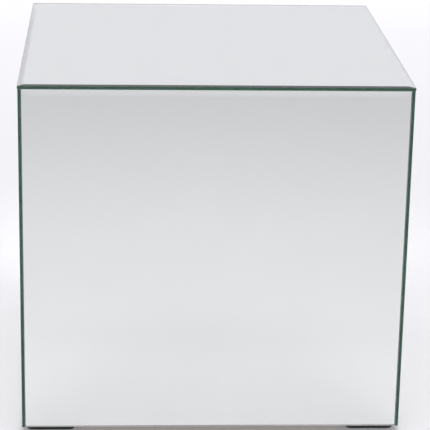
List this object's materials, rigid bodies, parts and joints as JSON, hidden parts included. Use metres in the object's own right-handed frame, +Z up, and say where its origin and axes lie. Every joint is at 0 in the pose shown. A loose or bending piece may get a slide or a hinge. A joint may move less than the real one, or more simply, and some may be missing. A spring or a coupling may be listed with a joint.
{
  "type": "mirrored block side table",
  "caption": "Block side table clad in bevelled mirror panes over a closed fibreboard box, standing on low corner feet.",
  "frame": {"origin": "on the floor, under the middle of the block", "axes": "+Z up, the front faces -Y, +X is to the right seen from the front"},
  "size_m": [0.45, 0.45, 0.425],
  "materials": {
    "mirror_glass": "polished, bevelled",
    "silvering": "mirror",
    "foam_tape": "closed foam",
    "mirror_mastic": "cured",
    "fibreboard": "raw, sealed",
    "pine": "sawn",
    "beech_dowel": "fluted",
    "zinc_screw": "zinc plated",
    "black_foot": "moulded, fine texture",
    "black_felt": "felted"
  },
  "bodies": {
    "root": {"bottom_board": "fibreboard", "bottom_board_screws": "zinc_screw", "foot_screws": "zinc_screw", "front_batten": "pine", "front_board": "fibreboard", "front_left_felt": "black_felt", "front_left_foot": "black_foot", "front_left_post": "pine", "front_mirror_glass": "mirror_glass", "front_mirror_mastic": "mirror_mastic", "front_mirror_silvering": "silvering", "front_mirror_tape": "foam_tape", "front_right_felt": "black_felt", "front_right_foot": "black_foot", "front_right_post": "pine", "left_batten": "pine", "left_board": "fibreboard", "left_mirror_glass": "mirror_glass", "left_mirror_mastic": "mirror_mastic", "left_mirror_silvering": "silvering", "left_mirror_tape": "foam_tape", "rear_batten": "pine", "rear_board": "fibreboard", "rear_left_felt": "black_felt", "rear_left_foot": "black_foot", "rear_left_post": "pine", "rear_mirror_glass": "mirror_glass", "rear_mirror_mastic": "mirror_mastic", "rear_mirror_silvering": "silvering", "rear_mirror_tape": "foam_tape", "rear_right_felt": "black_felt", "rear_right_foot": "black_foot", "rear_right_post": "pine", "right_batten": "pine", "right_board": "fibreboard", "right_mirror_glass": "mirror_glass", "right_mirror_mastic": "mirror_mastic", "right_mirror_silvering": "silvering", "right_mirror_tape": "foam_tape", "top_board": "fibreboard", "top_board_dowels": "beech_dowel", "top_mirror_glass": "mirror_glass", "top_mirror_mastic": "mirror_mastic", "top_mirror_silvering": "silvering", "top_mirror_tape": "foam_tape", "wall_screws": "zinc_screw"}
  },
  "joints": []
}
